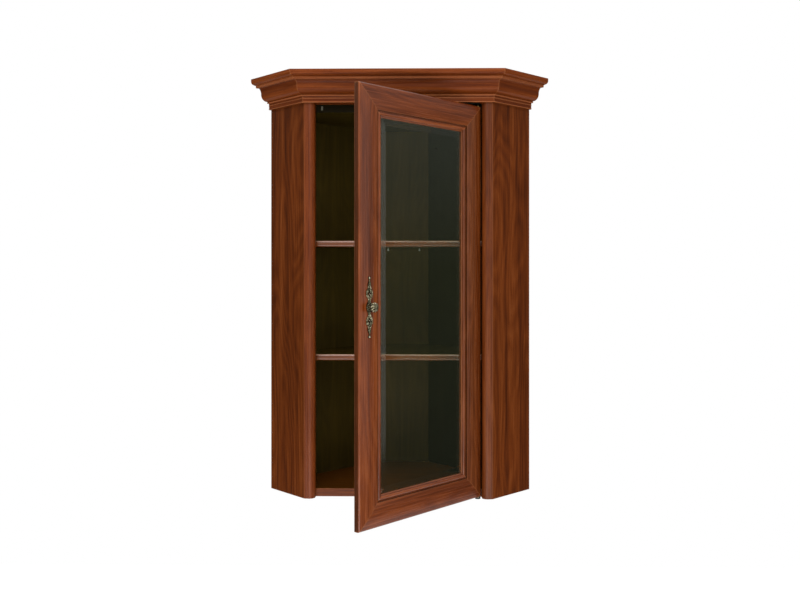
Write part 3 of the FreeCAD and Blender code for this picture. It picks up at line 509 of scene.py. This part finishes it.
for run, (first, seed, turn, inward) in RUNS.items():
    form = bmesh.new()
    for section in FINE_MEMBERS:
        cornice_member(form, section, first)
    # The fine members get paler tones than the cornice: a painted highlight.
    foil = moulding_foil(f"cherry foil, {run} beads", seed, inward, turn=turn, tones=BEAD_HIGHLIGHT_CHERRY)
    new_piece(f"cornice_beads_{run}", "carcase", foil, form, smooth=False)


# ---- handle ----

def through(points, steps):
    """Points on a smooth line through the given ones."""
    run = [points[0], *points, points[-1]]
    found = []
    for before, here, there, after in zip(run, run[1:], run[2:], run[3:]):
        for step in range(steps):
            t = step / steps
            found.append(tuple(
                0.5 * (2 * h + (n - b) * t + (2 * b - 5 * h + 4 * n - a) * t ** 2
                       + (3 * h - b - 3 * n + a) * t ** 3)
                for b, h, n, a in zip(before, here, there, after)))
    return found + [tuple(points[-1])]


# The handle's own frame: across the stile, out of it and up, in millimetres from the plate's face.
plate_low, plate_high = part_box("handle_plate")
PLATE_HALF_THICKNESS = 0.9 * MM
plate_face = (plate_low + plate_high) / 2 + OUT_OF_DOOR * PLATE_HALF_THICKNESS

STRAND_STEPS = 6            # points from one given point of a strand to the next
STRAND_HEIGHT = 1.1         # how high a strand stands, as a share of half its width


def on_plate(across, out, up):
    """A place in the handle's own frame."""
    return plate_face + (ALONG_DOOR * across + OUT_OF_DOOR * out + UP * up) * MM


def swept_ring(form, middle, beside, radius, height, sides):
    """One oval ring of a cast strand: its width lies beside the strand, its height out of the plate."""
    ring = []
    for index in range(sides):
        angle = 2 * math.pi * index / sides
        side_step = radius * math.cos(angle)
        ring.append(form.verts.new(on_plate(middle[0] + beside[0] * side_step,
                                            middle[2] + height * math.sin(angle),
                                            middle[1] + beside[1] * side_step)))
    return ring


def strand(form, points, sides=10):
    """A cast strand through (across, up, radius) points, closed at both ends."""
    line = through(points, STRAND_STEPS)
    rings = []
    for index, (across, up, radius) in enumerate(line):
        before, after = line[max(index - 1, 0)], line[min(index + 1, len(line) - 1)]
        run = Vector((after[0] - before[0], after[1] - before[1])).normalized()
        rings.append(swept_ring(form, (across, up, 0), (-run.y, run.x), radius, radius * STRAND_HEIGHT,
                                sides))
    for ring, following in zip(rings, rings[1:]):
        for index in range(sides):
            beside = (index + 1) % sides
            form.faces.new((ring[index], ring[beside], following[beside], following[index]))
    form.faces.new(rings[0])
    form.faces.new(rings[-1])


def bead(form, across, up, radius, out=0.0):
    """A cast bead on the plate."""
    made = bmesh.ops.create_uvsphere(form, u_segments=16, v_segments=10, radius=radius * MM)
    bmesh.ops.translate(form, verts=made["verts"], vec=on_plate(across, out, up))


# One quarter of the scrollwork: (across, up, radius) along each strand, from the knob outwards.
SCROLLS = [
    [(2.5, 11, 1.0), (1.9, 16, 1.2), (3.6, 21, 1.3), (7.0, 26, 1.4), (9.0, 31.5, 1.4), (8.4, 37.5, 1.3),
     (5.9, 41.5, 1.15), (3.5, 40.6, 1.0), (3.3, 37.4, 0.9), (5.0, 36.2, 0.6)],
    [(1.0, 17, 0.6), (1.1, 22, 0.9), (3.2, 27, 1.0), (5.2, 31, 0.7), (5.4, 33, 0.35)],
    [(5.2, 43, 0.5), (4.6, 46.5, 1.0), (2.4, 50.5, 1.0), (1.9, 55, 0.9), (1.0, 60, 0.9), (0.5, 67, 0.9)],
]
# Beads of one quarter, and beads on the middle line: across, up and radius.
SIDE_BEADS = [(4.9, 37.9, 1.0), (8.2, 24.6, 0.9), (9.4, 40.2, 0.8), (4.7, 49.4, 0.8)]
MIDDLE_BEADS = [(23.5, 1.2), (32, 1.0), (43.5, 1.6), (48.5, 1.2), (53, 1.0), (57, 0.8), (71, 2.8)]
BOSS_RADIUS = 8.4
BOSS_BEADS = 20
BOSS_BEAD_RADIUS = 1.0
BOSS_BEAD_OUT = 0.2


def handle_scrollwork():
    """The raised work of the backplate: paired scrolls, beads and a beaded boss round the knob."""
    form = bmesh.new()
    for up_sign in (-1, 1):
        for across_sign in (-1, 1):
            for scroll in SCROLLS:
                strand(form, [(across_sign * across, up_sign * up, radius) for across, up, radius in scroll])
            for across, up, radius in SIDE_BEADS:
                bead(form, across_sign * across, up_sign * up, radius)
        for up, radius in MIDDLE_BEADS:
            bead(form, 0, up_sign * up, radius)
    for index in range(BOSS_BEADS):
        angle = 2 * math.pi * index / BOSS_BEADS
        bead(form, BOSS_RADIUS * math.cos(angle), BOSS_RADIUS * math.sin(angle), BOSS_BEAD_RADIUS,
             out=BOSS_BEAD_OUT)
    new_piece("handle_scrollwork", "door", rubbed_brass, form)


# The knob's profile: out from the plate, radius and how deep its ribs are cut there.
KNOB_PROFILE = [
    (0, 7.0, 0), (1.4, 7.0, 0), (2.2, 6.2, 0), (3.4, 4.6, 0), (6, 4.0, 0), (9, 4.0, 0), (11, 5.4, 0),
    (12.6, 8.6, 0.4), (14.4, 11.2, 0.9), (16.6, 12.4, 1), (18.9, 12.1, 1), (21.2, 10.5, 1), (23.1, 7.8, 1),
    (24.4, 4.4, 0.8), (24.9, 2.0, 0.3), (25, 0.05, 0)]
KNOB_RIBS = 9
RIB_DEPTH = 1.9
RIB_SWIRL = math.radians(80)
KNOB_SIDES = 120
KNOB_STEPS = 3
LEAST_RADIUS = 0.02         # so that the tip's last ring stays open
STALK_END = 11.5            # the foot and the neck keep the dark of the antiquing
GROOVE = 0.5                # how far up a rib the dark of its groove reaches


def handle_knob():
    """The knob: a spread foot, a waisted neck and a round head with swirling ribs."""
    form = bmesh.new()
    rings = []
    ribs = []
    stalk = []
    reach = KNOB_PROFILE[-1][0]
    for out, radius, cut in through(KNOB_PROFILE, KNOB_STEPS):
        ring = []
        heights = []
        for index in range(KNOB_SIDES):
            angle = 2 * math.pi * index / KNOB_SIDES
            rib = 0.5 - 0.5 * math.cos(KNOB_RIBS * (angle + RIB_SWIRL * out / reach))
            here = max(radius - RIB_DEPTH * cut * (1 - rib) ** 2, LEAST_RADIUS)
            ring.append(form.verts.new(on_plate(here * math.cos(angle), out, here * math.sin(angle))))
            heights.append(rib if cut else 1)
        rings.append(ring)
        ribs.append(heights)
        stalk.append(out < STALK_END)
    for ring, following, heights, in_shade in zip(rings, rings[1:], ribs, stalk):
        for index in range(KNOB_SIDES):
            beside = (index + 1) % KNOB_SIDES
            face = form.faces.new((ring[index], ring[beside], following[beside], following[index]))
            face.material_index = int(heights[index] < GROOVE or in_shade)
    form.faces.new(rings[0])
    form.faces.new(rings[-1])
    knob = new_piece("handle_knob_cast", "door", rubbed_brass, form)
    knob.data.materials.append(antique_brass)
    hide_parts("handle_knob")


handle_scrollwork()
handle_knob()


# ---- studio ----

FLOOR_BELOW = 1.4           # such a cabinet hangs about this far above the floor
FLOOR_HALF = 3.4            # half the floor's width
FLOOR_LIFT = 0.66           # what the camera sees on top of the floor's own light
FLOOR_CLOUDS = 1.5          # soft changes of tone to a metre of floor

ROOM_LIGHT = 0.5            # the light that comes from all round
# The room's tones as gloss mirrors them, from low on the walls to straight above.
ROOM_TONES = [(0.36, "#4d5143"), (0.5, "#656950"), (0.59, "#888c7f"), (0.9, "#ffffff")]
# Each softbox: its place, what it faces, its width and height, all in metres, and its watts.
SOFTBOXES = {
    "front softbox": ((0.2, -4.2, 0.6), (0, -0.1, 0.6), 4.0, 3.4, 28),
    "overhead softbox": ((-0.1, -1.9, 2.8), (0, -0.1, 0.6), 1.6, 2.0, 45),
    "right softbox": ((2.4, -1.28, 0.7), (0, -0.4, 0.6), 1.9, 2.2, 7.5),
    "low bounce": ((0, -2.4, -0.9), (0, -0.1, 1.0), 2.4, 1.0, 25),
}

# The photograph's camera, in metres, and where its axis meets the picture, in pixels of 800 x 601.
CAMERA_PLACE = (0.105, -2.5247, 0.6426)
CAMERA_YAW = math.radians(0.86)
FOCAL_PIXELS = 869
PRINCIPAL = (423.05, 267.5)
PICTURE = (800, 601)
SENSOR = 36.0               # its width in millimetres


def shown_rays(tree):
    """1 on rays that show the background: the camera's, mirrored ones and those through glass."""
    ray = add(tree, "LightPath").outputs
    direct = add(tree, "Math", {0: ray["Is Camera Ray"], 1: ray["Is Transmission Ray"]},
                 operation="MAXIMUM").outputs[0]
    return add(tree, "Math", {0: direct, 1: ray["Is Glossy Ray"]}, operation="MAXIMUM").outputs[0]


def pale_floor():
    """A plain pale floor that shows white to the camera and keeps the cabinet's shadow."""
    material, tree = new_material("white paint, matt")
    place = add(tree, "TexCoord").outputs["Object"]
    cloud = add(tree, "TexNoise", {"Vector": place, "Scale": FLOOR_CLOUDS, "Detail": 2.0})
    colour = add(tree, "ValToRGB", {"Fac": cloud.outputs["Fac"]},
                 stops=[(0.4, "#ebebea"), (0.6, "#eeeeed")]).outputs["Color"]
    paint = add(tree, "BsdfDiffuse", {"Color": colour})
    lift = add(tree, "Math", {0: shown_rays(tree), 1: FLOOR_LIFT}, operation="MULTIPLY").outputs[0]
    glow = add(tree, "Emission", {"Strength": lift})
    coat_with(tree, add(tree, "AddShader", {0: paint.outputs[0], 1: glow.outputs[0]}))
    form = bmesh.new()
    bmesh.ops.create_grid(form, x_segments=1, y_segments=1, size=FLOOR_HALF)
    mesh = bpy.data.meshes.new("floor")
    form.to_mesh(mesh)
    form.free()
    mesh.materials.append(material)
    floor = bpy.data.objects.new("floor", mesh)
    floor.location = (0, 0, cad_box[0].z - FLOOR_BELOW)
    bpy.context.scene.collection.objects.link(floor)


def softbox(name, place, aim, wide, tall, watts):
    """A large rectangular lamp that faces a point."""
    lamp = bpy.data.lights.new(name, "AREA")
    lamp.shape = "RECTANGLE"
    lamp.size, lamp.size_y, lamp.energy = wide, tall, watts
    box = bpy.data.objects.new(name, lamp)
    box.location = place
    box.rotation_euler = (Vector(aim) - Vector(place)).to_track_quat("-Z", "Y").to_euler()
    box.visible_camera = False
    bpy.context.scene.collection.objects.link(box)


def surround():
    """White to the camera and through glass; to gloss, a studio with grey walls and a white top."""
    world = bpy.data.worlds.new("studio")
    bpy.context.scene.world = world
    world.use_nodes = True
    tree = world.node_tree
    tree.nodes.clear()
    rise = add(tree, "SeparateXYZ", {0: add(tree, "TexCoord").outputs["Generated"]}).outputs["Z"]
    height = add(tree, "MapRange", {"Value": rise, "From Min": -1.0, "From Max": 1.0}).outputs[0]
    studio = add(tree, "ValToRGB", {"Fac": height}, stops=ROOM_TONES).outputs["Color"]
    # A ray that only passed through glass has no glossy depth, and sees plain white.
    mirrored = add(tree, "Math", {0: add(tree, "LightPath").outputs["Glossy Depth"], 1: 1.0},
                   operation="MINIMUM").outputs[0]
    colour = add(tree, "Mix", {0: mirrored, 6: linear("#ffffff"), 7: studio}, data_type="RGBA").outputs[2]
    strength = add(tree, "MapRange", {"Value": shown_rays(tree), "To Min": ROOM_LIGHT,
                                      "To Max": 1.0}).outputs[0]
    background = add(tree, "Background", {"Color": colour, "Strength": strength})
    add(tree, "OutputWorld", {"Surface": background.outputs[0]})


def camera():
    """The photograph's camera: level, turned a little, its axis off the middle of the picture."""
    lens = bpy.data.cameras.new("camera")
    lens.sensor_width = SENSOR
    lens.lens = SENSOR * FOCAL_PIXELS / PICTURE[0]
    lens.shift_x = (PICTURE[0] / 2 - PRINCIPAL[0]) / PICTURE[0]
    lens.shift_y = (PRINCIPAL[1] - PICTURE[1] / 2) / PICTURE[0]
    eye = bpy.data.objects.new("camera", lens)
    eye.location = CAMERA_PLACE
    eye.rotation_euler = (math.radians(90), 0, CAMERA_YAW)
    bpy.context.scene.collection.objects.link(eye)
    bpy.context.scene.camera = eye


pale_floor()
surround()
for name, (place, aim, wide, tall, watts) in SOFTBOXES.items():
    softbox(name, place, aim, wide, tall, watts)
camera()
bpy.context.scene.view_settings.view_transform = "Standard"
